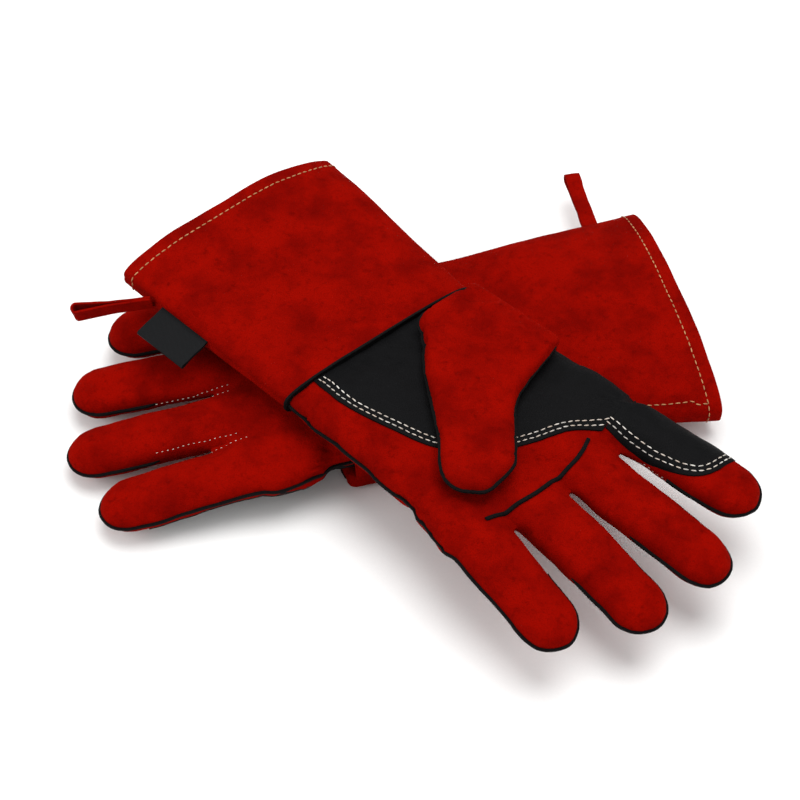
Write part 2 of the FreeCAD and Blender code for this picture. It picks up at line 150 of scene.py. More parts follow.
class Glove:
    """One glove's hand frame: origin mid wrist seam, +Y to the fingertips, Z = 0 at the seams.

    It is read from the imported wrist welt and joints. Points in it are rows of x, y, z in millimetres.
    """

    def __init__(self, side, palm, droop, wrist_yaw, mouth):
        self.side = side
        self.palm = palm
        self.droop = droop
        self.slant = math.tan(math.radians(wrist_yaw))
        self.mouth = mouth
        curls = {f: joint(f"{side}_{f}_finger_curl") for f in FINGERS}
        along = -palm * Vector(joint(f"{side}_thumb_open")["axis"])
        across = palm * Vector(curls["index"]["axis"])
        up = across.cross(along).normalized()
        low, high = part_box(f"{side}_wrist_welt")
        turned = Matrix((along.cross(up), along, up)).transposed().to_4x4()
        self.matrix = Matrix.Translation((low + high) / 2) @ turned
        inverse = self.matrix.inverted()
        self.knuckle = {}
        self.heading = {}
        for f, curl in curls.items():
            self.knuckle[f] = np.array(inverse @ Vector(curl["pos_m"])) / MM
            axis = palm * (inverse.to_3x3() @ Vector(curl["axis"]))
            self.heading[f] = math.atan2(axis.y, axis.x)
        self.thumb_hinge = np.array(inverse @ Vector(joint(f"{side}_thumb_open")["pos_m"])) / MM
        self.shift = self.knuckle["index"][0] + 50.0    # outlines are drawn for an index knuckle at -50

    def finger_to_hand(self, finger, points):
        """Points in a straight finger's own frame, whose origin is its knuckle, carried to the hand frame."""
        c, s = math.cos(self.heading[finger]), math.sin(self.heading[finger])
        turned = np.asarray(points, float) @ np.array([[c, s, 0], [-s, c, 0], [0, 0, 1]])
        return turned + self.knuckle[finger] * (1, 1, 0)

    def hand_to_finger(self, finger, points):
        c, s = math.cos(self.heading[finger]), math.sin(self.heading[finger])
        from_knuckle = np.asarray(points, float) - self.knuckle[finger] * (1, 1, 0)
        return from_knuckle @ np.array([[c, -s, 0], [s, c, 0], [0, 0, 1]])

    def nearest_finger(self, points):
        """For each point, which finger's line it is nearest to."""
        gaps = [np.abs(self.hand_to_finger(f, points)[:, 0]) for f in FINGERS]
        return np.argmin(gaps, axis=0)

    def lay(self, points):
        """Points of the flat glove as it lies, in metres: the fingers droop and the wrist seam slants."""
        points = np.array(points, float)
        nearest = self.nearest_finger(points)
        for i, f in enumerate(FINGERS):
            mine = (nearest == i) & (points[:, 1] > 80)
            if not mine.any():
                continue
            own = self.hand_to_finger(f, points[mine])
            angle = -math.radians(self.droop[f]) * ease((own[:, 1] + 12) / 26)
            y, z = own[:, 1].copy(), own[:, 2].copy()
            own[:, 1] = y * np.cos(angle) - z * np.sin(angle)
            own[:, 2] = y * np.sin(angle) + z * np.cos(angle)
            points[mine] = self.finger_to_hand(f, own)
        points[:, 1] += points[:, 0] * self.slant * (1 - ease(points[:, 1] / 75))
        rotation = np.array(self.matrix.to_3x3())
        return points * MM @ rotation.T + np.array(self.matrix.translation)

    def place(self, x, y, z=0.0):
        return Vector(self.lay([(x, y, z)])[0])


def gloves():
    right = Glove("right", -1, {"index": 8.0, "middle": 8.0, "ring": 8.0, "little": 9.0}, 0.0,
                  {"half_width": 81.0, "up": 22.0, "down": 14.0, "at": (-1.0, -7.0), "yaw": -1.0})
    left = Glove("left", 1, {"index": 3.0, "middle": 5.0, "ring": 7.0, "little": 9.0}, -10.0,
                 {"half_width": 73.0, "up": 17.0, "down": 19.0, "at": (-15.0, 2.0), "yaw": -10.0})
    return {"right": right, "left": left}


# ---------------------------------------------------------------- meshes

def linked(name, mesh):
    """An object of a mesh, in the scene."""
    piece = bpy.data.objects.new(name, mesh)
    bpy.context.scene.collection.objects.link(piece)
    return piece


def discard(piece):
    mesh = piece.data
    bpy.data.objects.remove(piece)
    bpy.data.meshes.remove(mesh)


def new_piece(name, points, faces, smooth=True):
    """A mesh object from points in millimetres."""
    mesh = bpy.data.meshes.new(name)
    mesh.from_pydata((np.asarray(points, float) * MM).tolist(), [], faces)
    mesh.update()
    if smooth:
        mesh.shade_smooth()
    return linked(name, mesh)


def two_tone(name, points, faces, slots, sharp=SHARP):
    """A closed piece whose faces take the given material slots."""
    piece = new_piece(name, points, faces)
    piece.data.polygons.foreach_set("material_index", slots)
    outward(piece)
    piece.data.set_sharp_from_angle(angle=sharp)
    return piece


def vectors(items, field):
    flat = np.empty(len(items) * 3)
    items.foreach_get(field, flat)
    return flat.reshape(-1, 3)


def points_of(piece):
    return vectors(piece.data.vertices, "co") / MM


def normals_of(piece):
    return vectors(piece.data.vertex_normals, "vector")


def set_points(piece, points, scale=MM):
    piece.data.vertices.foreach_set("co", (np.asarray(points, float) * scale).ravel())
    piece.data.update()


def apply_modifiers(piece):
    """Replaces a piece's mesh with what its modifiers make of it."""
    depsgraph = bpy.context.evaluated_depsgraph_get()
    done = bpy.data.meshes.new_from_object(piece.evaluated_get(depsgraph))
    piece.modifiers.clear()
    old, piece.data = piece.data, done
    bpy.data.meshes.remove(old)
    return piece


def outward(piece):
    """Joins coincident points and turns every face to point outwards."""
    work = bmesh.new()
    work.from_mesh(piece.data)
    bmesh.ops.remove_doubles(work, verts=work.verts, dist=0.00001)
    bmesh.ops.recalc_face_normals(work, faces=work.faces)
    work.to_mesh(piece.data)
    work.free()
    return piece


def joined(name, pieces):
    """One piece made of several closed ones."""
    work = bmesh.new()
    for piece in pieces:
        work.from_mesh(piece.data)
        discard(piece)
    mesh = bpy.data.meshes.new(name)
    work.to_mesh(mesh)
    work.free()
    return linked(name, mesh)


def run_along(points):
    """How far along a polyline each of its points is."""
    return np.concatenate([[0], np.cumsum(np.linalg.norm(np.diff(points, axis=0), axis=1))])


def left_of(path):
    """Unit vectors to the left of a path in a plane, at each of its points."""
    ahead = np.gradient(path, axis=0)
    ahead /= np.linalg.norm(ahead, axis=1, keepdims=True)
    return np.column_stack([-ahead[:, 1], ahead[:, 0]])


def section(half_width, up, down, power, count):
    """A closed oval in the XZ plane with evenly spaced points, from its +X side over the top."""
    angle = np.linspace(0, 2 * math.pi, 721)
    c, s = np.cos(angle), np.sin(angle)
    x = half_width * np.sign(c) * np.abs(c) ** (2 / power)
    z = np.where(s >= 0, up, down) * np.sign(s) * np.abs(s) ** (2 / power)
    run = run_along(np.column_stack([x, z]))
    at = np.arange(count) / count * run[-1]
    return np.column_stack([np.interp(at, run, x), np.zeros(count), np.interp(at, run, z)])


def loft(name, rings, capped=True):
    """A skin through rings of equally many points."""
    count = len(rings[0])
    faces = []
    for start in range(0, (len(rings) - 1) * count, count):
        here = [start + i for i in range(count)]
        for a, b in zip(here, here[1:] + here[:1]):
            faces.append((a, b, b + count, a + count))
    if capped:
        faces += [tuple(range(count)), tuple((len(rings) - 1) * count + i for i in reversed(range(count)))]
    return outward(new_piece(name, np.concatenate(rings), faces))


def remeshed(piece, size, smoothing):
    """A piece rebuilt in even quads of a size in millimetres, then smoothed."""
    remesh = piece.modifiers.new("Even mesh", "REMESH")
    remesh.mode = "VOXEL"
    remesh.voxel_size = size * MM
    remesh.use_smooth_shade = True
    soften = piece.modifiers.new("Soften", "SMOOTH")
    soften.factor = 0.5
    soften.iterations = smoothing
    return apply_modifiers(piece)


def inflated(piece, pressure, cap, pinned):
    """Blows the leather up a little by cloth simulation. No point moves more than cap millimetres."""
    start = points_of(piece)
    group = piece.vertex_groups.new(name="sewn")
    group.add([int(i) for i in np.nonzero(pinned)[0]], 1.0, "REPLACE")
    cloth = piece.modifiers.new("Leather", "CLOTH")
    settings = cloth.settings
    for name, value in {
        "quality": 5, "mass": 0.3, "tension_stiffness": 25, "compression_stiffness": 15,
        "bending_stiffness": 1.2, "use_pressure": True, "uniform_pressure_force": pressure,
        "shrink_min": -0.05, "vertex_group_mass": "sewn",
    }.items():
        setattr(settings, name, value)
    settings.effector_weights.gravity = 0.0
    scene = bpy.context.scene
    for step in range(1, 17):
        scene.frame_set(step)
    apply_modifiers(piece)
    scene.frame_set(1)
    move = points_of(piece) - start
    size = np.linalg.norm(move, axis=1, keepdims=True)
    set_points(piece, start + move * np.minimum(1.0, cap / np.maximum(size, 1e-9)))
    piece.vertex_groups.clear()
    return piece


def split(piece, name_above, name_below, point, normal, only=None):
    """Cuts a piece along a plane into the part that the normal points to, and the rest. Coordinates in mm.

    only tells, from the middles of all faces, which faces may be cut and taken.
    """
    point, normal = np.array(point, float), np.array(normal, float)

    def middles(work):
        return np.array([f.calc_center_median() for f in work.faces]) / MM

    def takes(places):
        return np.ones(len(places), bool) if only is None else only(places)

    results = []
    for keep_above, name in ((True, name_above), (False, name_below)):
        work = bmesh.new()
        work.from_mesh(piece.data)
        geometry = set()
        for f, taken in zip(list(work.faces), takes(middles(work))):
            if taken:
                geometry.update([f], f.edges, f.verts)
        bmesh.ops.bisect_plane(work, geom=list(geometry), dist=1e-7, plane_co=Vector(point) * MM,
                               plane_no=Vector(normal))
        places = middles(work)
        above = ((places - point) @ normal > 0) & takes(places)
        drop = [f for f, up in zip(list(work.faces), above) if up != keep_above]
        bmesh.ops.delete(work, geom=drop, context="FACES")
        mesh = bpy.data.meshes.new(name)
        work.to_mesh(mesh)
        work.free()
        mesh.shade_smooth()
        results.append(linked(name, mesh))
    discard(piece)
    return results


def halves(piece, glove, seam=0.0):
    """A skin cut along its seams into the half on the palm's side and the half on the back's."""
    above, below = split(piece, "above", "below", (0, 0, seam), (0, 0, 1))
    return (above, below) if glove.palm > 0 else (below, above)


def thickened(piece, thickness, inside_slot=0):
    """Gives an open skin its thickness, inwards. The inner face takes another material slot."""
    solid = piece.modifiers.new("Thickness", "SOLIDIFY")
    solid.thickness = thickness * MM
    solid.offset = -1.0
    solid.use_rim = True
    solid.material_offset = inside_slot
    solid.material_offset_rim = 0
    apply_modifiers(piece)
    piece.data.set_sharp_from_angle(angle=SHARP)
    return piece


def finish(piece, starts, body, nodes=()):
    """Dresses a finished piece, parents it to the body it rides on and hides the nodes it stands for."""
    piece.data.materials.clear()
    for material in finishes(*starts):
        piece.data.materials.append(material)
    if body:
        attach(piece, body)
    if nodes:
        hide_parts(*nodes)
    return piece


def sewn(piece, glove, starts, nodes=(), finger=None, body=True):
    """Lays and finishes a piece of the flat glove, on the glove's body, or on no body when a finger is given.

    Without body, the piece is left on no body.
    """
    set_points(piece, glove.lay(points_of(piece)), 1.0)
    finish(piece, starts, f"{glove.side}_glove" if body and not finger else None, nodes)
    if finger:
        blended(piece, glove, finger)
    return piece


def tree_of(piece):
    """A search tree of a skin, in millimetres."""
    points = [Vector(p) for p in points_of(piece)]
    return BVHTree.FromPolygons(points, [tuple(p.vertices) for p in piece.data.polygons])


def drop_onto(tree, points, palm, lift=0.0):
    """Points moved along Z onto a skin, on the palm's side or the back's, then lifted off it."""
    out = []
    for x, y, z in np.asarray(points, float):
        hit = tree.ray_cast(Vector((x, y, WELL_OUTSIDE * palm)), Vector((0, 0, -palm)))[0]
        out.append((x, y, z) if hit is None else tuple(hit + Vector((0, 0, lift * palm))))
    return np.array(out)


def rumpled(piece, amount, wavelength, seed):
    """Moves a skin's points in and out by a smooth noise, in millimetres."""
    points, out = points_of(piece), normals_of(piece)
    shift = np.array([noise.noise(Vector(p) / wavelength + Vector((seed, 0, 0))) for p in points])
    set_points(piece, points + out * (shift * amount)[:, None])
    return piece


def ribbon(name, inner, outer, across, thickness, closed=False):
    """A flat strip on edge, from its sewn line to its cut edge, which takes the second material slot."""
    inner, outer = np.asarray(inner, float), np.asarray(outer, float)
    across = np.broadcast_to(np.asarray(across, float), inner.shape)
    reach = outer - inner
    reach /= np.maximum(np.linalg.norm(reach, axis=1, keepdims=True), 1e-9)
    half, bevel = thickness / 2, thickness * 0.18
    stations = np.stack([
        inner - across * half, outer - across * half - reach * bevel, outer - across * (half - bevel),
        outer + across * (half - bevel), outer + across * half - reach * bevel, inner + across * half,
    ], axis=1)
    count = len(stations)
    faces, slots = [], []
    for i in range(count if closed else count - 1):
        k = (i + 1) % count
        for j in range(6):
            m = (j + 1) % 6
            faces.append((i * 6 + j, i * 6 + m, k * 6 + m, k * 6 + j))
            slots.append(1 if j in (1, 2, 3) else 0)
    if not closed:
        faces.append(tuple(range(6)))
        faces.append(tuple(count * 6 - 6 + j for j in reversed(range(6))))
        slots += [0, 0]
    return two_tone(name, stations.reshape(-1, 3), faces, slots, math.radians(40.0))


def slab_on(name, under, over):
    """A thin closed slab between two grids of points. Its rim takes the second material slot."""
    rows, columns = under.shape[:2]
    points = np.concatenate([under.reshape(-1, 3), over.reshape(-1, 3)])
    top = rows * columns
    faces, slots = [], []
    for r in range(rows - 1):
        for c in range(columns - 1):
            quad = (r * columns + c, r * columns + c + 1, (r + 1) * columns + c + 1, (r + 1) * columns + c)
            faces += [quad, tuple(i + top for i in reversed(quad))]
            slots += [0, 0]
    border = [(0, c) for c in range(columns)] + [(r, columns - 1) for r in range(1, rows)]
    border += [(rows - 1, c) for c in range(columns - 2, -1, -1)] + [(r, 0) for r in range(rows - 2, 0, -1)]
    flat = [r * columns + c for r, c in border]
    for a, b in zip(flat, flat[1:] + flat[:1]):
        faces.append((a, a + top, b + top, b))
        slots.append(1)
    return two_tone(name, points, faces, slots)


def flat_3d(path):
    return np.column_stack([path, 0 * path[:, 0]])


def resampled(points, step):
    """A polyline's points, evenly spaced about step apart."""
    points = np.asarray(points, float)
    run = run_along(points)
    at = np.linspace(0, run[-1], max(2, int(round(run[-1] / step)) + 1))
    return np.column_stack([np.interp(at, run, points[:, k]) for k in range(points.shape[1])])


def smoothed(points, rounds=2):
    """A polyline with its corners cut, its ends kept."""
    points = np.asarray(points, float)
    for _ in range(rounds):
        near, far = points[:-1], points[1:]
        pairs = np.stack([near * 0.75 + far * 0.25, near * 0.25 + far * 0.75], axis=1)
        points = np.concatenate([points[:1], pairs.reshape(-1, points.shape[1]), points[-1:]])
    return points


# ---------------------------------------------------------------- finishes

def linear(hex_colour):
    """An sRGB hex value as linear RGBA."""
    values = [int(hex_colour[i:i + 2], 16) / 255 for i in (1, 3, 5)]
    return [v / 12.92 if v <= 0.04045 else ((v + 0.055) / 1.055) ** 2.4 for v in values] + [1.0]


def add(tree, kind, inputs=None, **settings):
    """Adds a node with its settings, and sets or links its inputs."""
    node = tree.nodes.new(kind)
    for name, value in settings.items():
        setattr(node, name, value)
    for name, value in (inputs or {}).items():
        if isinstance(value, bpy.types.NodeSocket):
            tree.links.new(value, node.inputs[name])
        else:
            node.inputs[name].default_value = value
    return node


def per_metre(millimetres):
    """A texture scale for a feature of a size in millimetres, on coordinates in metres."""
    return 1.0 / (millimetres * MM)


def material(name, build):
    """The material of a name, made on its first use. build(tree, coordinates) returns shader inputs."""
    found = bpy.data.materials.get(name)
    if found:
        return found
    made_now = bpy.data.materials.new(name)
    made_now.use_nodes = True
    tree = made_now.node_tree
    tree.nodes.clear()
    where = add(tree, "ShaderNodeTexCoord").outputs["Object"]
    shader = add(tree, "ShaderNodeBsdfPrincipled", build(tree, where))
    add(tree, "ShaderNodeOutputMaterial", {"Surface": shader.outputs["BSDF"]})
    return made_now


def dimmed(base, share):
    return [v * share for v in base[:3]] + [1.0]


def bump(tree, height, strength, millimetres, under=None):
    """A relief as deep as a size in millimetres, over another one if given."""
    inputs = {"Height": height, "Strength": strength, "Distance": millimetres * MM}
    if under:
        inputs["Normal"] = under
    return add(tree, "ShaderNodeBump", inputs).outputs["Normal"]


def wave(tree, where, scale, direction, **inputs):
    """Parallel waves, about pi over ten times the scale apart, in metres."""
    inputs = {"Vector": where, "Scale": scale, **inputs}
    return add(tree, "ShaderNodeTexWave", inputs, bands_direction=direction).outputs["Fac"]


def between(tree, factor, low, high, first, second):
    """Mixes two colours as factor goes from low to high."""
    eased = add(tree, "ShaderNodeMapRange", {"Value": factor, "From Min": low, "From Max": high},
                interpolation_type="SMOOTHSTEP")
    inputs = {0: eased.outputs["Result"], 6: first, 7: second}
    return add(tree, "ShaderNodeMix", inputs, data_type="RGBA").outputs[2]


def mapped(tree, value, low, high, to_low, to_high):
    inputs = {"Value": value, "From Min": low, "From Max": high, "To Min": to_low, "To Max": to_high}
    return add(tree, "ShaderNodeMapRange", inputs).outputs["Result"]


def speckle(tree, where, millimetres, detail=3.0, roughness=0.55):
    inputs = {"Vector": where, "Scale": per_metre(millimetres), "Detail": detail, "Roughness": roughness}
    return add(tree, "ShaderNodeTexNoise", inputs).outputs["Fac"]


def suede(tree, where):
    """Split cowhide, drum dyed and buffed: a matt nap in soft patches, brushed lighter and darker."""
    c = colours()
    deep, flat = linear(c.suede_deep), linear(c.suede)
    patches = speckle(tree, where, 22.0, 5.0, 0.62)
    scuffs = speckle(tree, where, 5.0, 5.0, 0.65)
    fibres = speckle(tree, where, 0.8, 3.0, 0.7)
    dark = dimmed(deep, 0.62)
    base = between(tree, patches, 0.28, 0.66, deep, flat)
    base = between(tree, scuffs, 0.12, 0.50, dark, base)
    base = between(tree, fibres, 0.05, 0.56, dark, base)
    relief = bump(tree, fibres, 0.55, 0.6)
    return {
        "Base Color": base, "Roughness": mapped(tree, fibres, 0.3, 0.7, 0.82, 1.0),
        "Normal": bump(tree, speckle(tree, where, 3.2), 0.30, 1.1, relief),
        "Specular IOR Level": 0.01, "Sheen Weight": 0.06, "Sheen Roughness": 0.5,
        "Sheen Tint": (0.80, 0.02, 0.0, 1.0),
    }


def raw_suede(tree, where):
    """The cut edge of the same split: undyed core fibres, dusty pink grey."""
    fibres = speckle(tree, where, 0.5, 4.0, 0.7)
    return {"Base Color": between(tree, fibres, 0.35, 0.65, linear("#6E2A22"), linear("#A0766A")),
            "Roughness": 1.0, "Normal": bump(tree, fibres, 0.6, 0.5)}


def grain_leather(tree, where):
    """Top-grain cowhide, dyed black and pressed: pebbles a millimetre across under a low wax gloss."""
    pebbles = add(tree, "ShaderNodeTexVoronoi", {"Vector": where, "Scale": per_metre(1.3), "Randomness": 1.0},
                  feature="DISTANCE_TO_EDGE").outputs["Distance"]
    creases = speckle(tree, where, 9.0, 5.0, 0.6)
    dust = speckle(tree, where, 0.8)
    base = between(tree, creases, 0.35, 0.7, linear(colours().grain), linear("#0E0E0F"))
    base = between(tree, dust, 0.60, 0.85, base, linear("#1C1C1F"))
    relief = bump(tree, creases, 0.35, 1.2)
    return {"Base Color": base, "Roughness": mapped(tree, creases, 0.3, 0.7, 0.46, 0.66),
            "Specular IOR Level": 0.04,
            "Normal": bump(tree, mapped(tree, pebbles, 0.0, 0.12, 0.0, 1.0), 0.30, 0.25, relief)}


def welt_leather(tree, where):
    """The same black leather skived to a flat strip: smoother, with a dull finish."""
    grain = speckle(tree, where, 1.0, 4.0, 0.6)
    return {"Base Color": between(tree, grain, 0.35, 0.75, linear("#070707"), linear("#121112")),
            "Roughness": mapped(tree, grain, 0.3, 0.7, 0.6, 0.8), "Specular IOR Level": 0.05,
            "Normal": bump(tree, grain, 0.4, 0.4)}


def raw_edge(tree, where):
    """The cut edge of the black strips: the dye stops short of the grey core, which shows as a thin line."""
    fibres = speckle(tree, where, 0.9, 4.0, 0.7)
    worn = speckle(tree, where, 6.0, 2.0)
    core = between(tree, fibres, 0.35, 0.65, linear("#1A1817"), linear(colours().raw_edge))
    return {"Base Color": between(tree, worn, 0.48, 0.62, linear("#060606"), core), "Roughness": 0.95,
            "Specular IOR Level": 0.02, "Normal": bump(tree, fibres, 0.5, 0.4)}


def twill(tree, where):
    """Cotton twill: diagonal ribs, drawn about 10 mm apart so that they show, with a slubby yarn."""
    unevenness = {"Distortion": 1.2, "Detail": 2.0, "Detail Scale": 2.0}
    ribs = wave(tree, where, per_metre(1.6) / 20, "DIAGONAL", **unevenness)
    slub = speckle(tree, where, 4.0)
    base = linear(colours().twill)
    shade = between(tree, ribs, 0.1, 0.8, dimmed(base, 0.55), base)
    shade = between(tree, slub, 0.3, 0.6, dimmed(base, 0.7), shade)
    return {"Base Color": shade, "Roughness": mapped(tree, slub, 0.3, 0.7, 0.85, 0.95), "Sheen Weight": 0.15,
            "Normal": bump(tree, ribs, 0.5, 0.5)}


def fleece(tree, where):
    """Brushed cotton fleece: short tufts a few millimetres across."""
    tufts = speckle(tree, where, 2.6, 5.0, 0.7)
    base = linear(colours().fleece)
    return {"Base Color": between(tree, tufts, 0.32, 0.62, dimmed(base, 0.5), base),
            "Roughness": mapped(tree, tufts, 0.3, 0.7, 0.9, 1.0), "Sheen Weight": 0.35,
            "Normal": bump(tree, tufts, 0.8, 1.2)}


def thread(colour_name):
    """Bonded polyester thread, twisted: drawn with a coarse twist so that it shows."""
    def build(tree, where):
        twist = wave(tree, where, per_metre(0.8) / 20, "DIAGONAL", Distortion=2.0)
        soil = speckle(tree, where, 8.0)
        base = linear(getattr(colours(), colour_name))
        shade = between(tree, twist, 0.1, 0.7, dimmed(base, 0.6), base)
        shade = between(tree, soil, 0.35, 0.6, [base[0] * 0.72, base[1] * 0.62, base[2] * 0.55, 1.0], shade)
        return {"Base Color": shade, "Roughness": mapped(tree, soil, 0.3, 0.7, 0.5, 0.7)}
    return build


def ribbon_weave(tree, where):
    """Woven polyester ribbon, black, with no mark: a fine plain rib and a slight satin gloss."""
    weft, warp = (wave(tree, where, per_metre(0.7) * math.tau / 20, direction) for direction in "XY")
    weave = add(tree, "ShaderNodeMath", {0: weft, 1: warp}, operation="MULTIPLY").outputs["Value"]
    return {"Base Color": between(tree, weave, 0.05, 0.6, linear(colours().ribbon), linear("#17181A")),
            "Roughness": mapped(tree, weave, 0.0, 1.0, 0.62, 0.5), "Specular IOR Level": 0.08,
            "Normal": bump(tree, weave, 0.35, 0.3)}


def studio_paper(tree, where):
    """Seamless background paper, pale and matt, with a faint tooth."""
    base = linear(colours().floor)
    return {"Base Color": between(tree, speckle(tree, where, 1.5), 0.3, 0.7, dimmed(base, 0.985), base),
            "Roughness": 0.95}


FINISHES = {
    "Red split suede, buffed": suede,
    "Split suede, raw edge": raw_suede,
    "Black grain leather, pressed": grain_leather,
    "Black strip leather, skived": welt_leather,
    "Black leather, raw edge": raw_edge,
    "Cotton twill, woven": twill,
    "Cotton fleece, brushed": fleece,
    "Seam thread, twisted": thread("seam_thread"),
    "Hem thread, twisted": thread("hem_thread"),
    "Label ribbon, woven": ribbon_weave,
    "Studio paper": studio_paper,
}


STRIP = ("Black strip", "Black leather, raw")      # face and cut edge
PATCH = ("Black grain", "Black leather, raw")
BARE_SUEDE = ("Red split", "Split suede")
LINED_SUEDE = ("Red split", "Cotton fleece")       # outside and inside


def finishes(*starts):
    """The materials whose names start so, in that order."""
    names = [next(n for n in FINISHES if n.startswith(s)) for s in starts]
    return [material(n, FINISHES[n]) for n in names]


# ---------------------------------------------------------------- shapes of one glove

def finger_lengths():
    sizes = pattern()
    return {"index": sizes.index_length, "middle": sizes.middle_length, "ring": sizes.ring_length,
            "little": sizes.little_length}


def hand_skin(glove):
    """The sewn skin of hand and fingers, flat, closed and a little swollen."""
    sizes = pattern()
    height = sizes.hand_half_height - 1.4
    low = glove.knuckle["index"][0] - sizes.finger_half_width
    high = glove.knuckle["little"][0] + sizes.finger_half_width
    rings = []
    for y in np.linspace(0.0, 112.0, 9):
        t = y / HAND_TAPER
        half = (1 - t) * sizes.wrist_half_width + t * (high - low) / 2 - SWELL / 2
        rings.append(section(half, height, height, 3.4, 96) + (t * (low + high) / 2, y, 0))
    parts = [loft("hand", rings)]
    for finger, reach in finger_lengths().items():
        half = sizes.finger_half_width - SWELL
        root = [section(half + 2.2, height, height, 3.0, 48) + (0, y, 0) for y in (-40.0, -24.0, -9.0)]
        parts.append(loft("root", [glove.finger_to_hand(finger, r) for r in root]))
        tip = reach - SWELL
        rings = []
        end = tip - TIP_RADIUS * (1 - np.sin(np.linspace(0.15, 1.5, 9)))
        for y in [*np.linspace(-30.0, tip - TIP_RADIUS, 8), *end]:
            nose = math.sqrt(max(0.0, 1 - max(0.0, (TIP_RADIUS - (tip - y)) / TIP_RADIUS) ** 2))
            tall = (height + 1.2) * nose ** 0.7
            rings.append(section(half * (1 - 0.02 * y / reach) * nose, tall, tall, 2.5, 48) + (0, y, 0))
        parts.append(loft("finger", [glove.finger_to_hand(finger, r) for r in rings]))
    skin = remeshed(joined(f"{glove.side}_skin", parts), 2.4, 7)
    skin = inflated(skin, 6.0, 3.0, points_of(skin)[:, 1] < 6.0)
    return rumpled(rumpled(skin, 1.1, 34.0, 3.0 + glove.palm), 0.5, 11.0, 9.0 + glove.palm)


def blended(piece, glove, finger):
    """Works out a finger's points at its split and a bend length past it, but bends nothing: it only bakes
    the piece's transform into its mesh.
    """
    hand, tip = glove.finger_to_hand(finger, [(0, SPLIT_AT, 0), (0, SPLIT_AT + KNUCKLE_BEND, 0)])
    glove.place(*hand)
    glove.place(*tip)
    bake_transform(piece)


def edge_points(skin, points, directions, missed=14.0):
    """Where rays from inside a skin come out through it, or how far along a ray a miss is taken to be."""
    found = []
    for p, d in zip(points, directions):
        hit = made[skin].ray_cast(Vector(p), Vector(d))[0]
        found.append(tuple(hit) if hit else tuple(np.array(p) + np.array(d) * missed))
    return np.array(found)


def hand_side(glove, sign, start, end):
    """Points down the middle of the hand and the directions to its radial (-1) or ulnar (+1) side."""
    y = np.linspace(start, end, max(2, int((end - start) / SEAM_STEP)))
    middle = glove.knuckle["middle"][0] * 0.5 + glove.knuckle["ring"][0] * 0.5
    origins = np.column_stack([y / HAND_TAPER * middle + sign * 45.0, y, 0 * y])
    return origins, np.tile([sign, 0.0, 0.0], (len(y), 1))


def finger_round(glove, finger, start_left, start_right):
    """Points and outward directions from one side of a finger round its tip to the other."""
    tip = finger_lengths()[finger] - TIP_RADIUS
    points, directions = [], []
    for y in np.linspace(start_left, tip, max(2, int((tip - start_left) / SEAM_STEP))):
        points.append((0, y, 0))
        directions.append((-1, 0, 0))
    for a in np.linspace(0, math.pi, 25)[1:-1]:
        points.append((0, tip, 0))
        directions.append((-math.cos(a), math.sin(a), 0))
    for y in np.linspace(tip, start_right, max(2, int((tip - start_right) / SEAM_STEP))):
        points.append((0, y, 0))
        directions.append((1, 0, 0))
    zero = glove.finger_to_hand(finger, [(0, 0, 0)])[0]
    return glove.finger_to_hand(finger, points), glove.finger_to_hand(finger, directions) - zero


def seam_strip(glove, name, origins, directions, taper=True, finger=None, nodes=()):
    """A welt standing out of the seam, along the places where rays leave the skin."""
    sizes = pattern()
    hits = edge_points(glove.side, origins, directions)
    run = run_along(hits)
    from_end = np.minimum(run, run[-1] - run)
    lip = sizes.welt_lip * (0.92 + 0.16 * np.array([noise.noise(Vector(h) / 14.0) for h in hits]))
    if taper:
        lip = lip * ease(0.15 + from_end / 7.0)
    waver = np.array([noise.noise(Vector(h) / 23.0 + Vector((5, 0, 0))) for h in hits]) * 0.7
    hits = hits + np.column_stack([0 * waver, 0 * waver, waver])
    strip = ribbon(name, hits - directions * SEWN_IN, hits + directions * lip[:, None], (0, 0, 1), sizes.welt)
    return sewn(strip, glove, STRIP, nodes, finger)


def patch_edge(glove):
    """The palm reinforcement's edge over the hand, as x against y."""
    edge = [(41, 0), (46, 24), (40, 50), (35, 75), (20, 92), (4, 105), (-14, 113), (-28, 121), (-37, 131)]
    return smoothed(np.array(edge, float) + (glove.shift, 0), 3)


def finger_patch_edge():
    """Its edge over the index finger, in the finger's own frame, from the split to the radial seam."""
    edge = [(12.6, SPLIT_AT), (13.6, 12.0), (13.2, 34.0), (9.6, 50.0), (1.0, 58.0), (-16.5, 61.0)]
    return smoothed(edge, 3)


def on_skin(glove, points, lift, side=None):
    """Points dropped on the skin on the palm's side, or on the given side, and lifted off it."""
    return drop_onto(made[glove.side], points, glove.palm if side is None else side, lift)


# ---------------------------------------------------------------- pieces

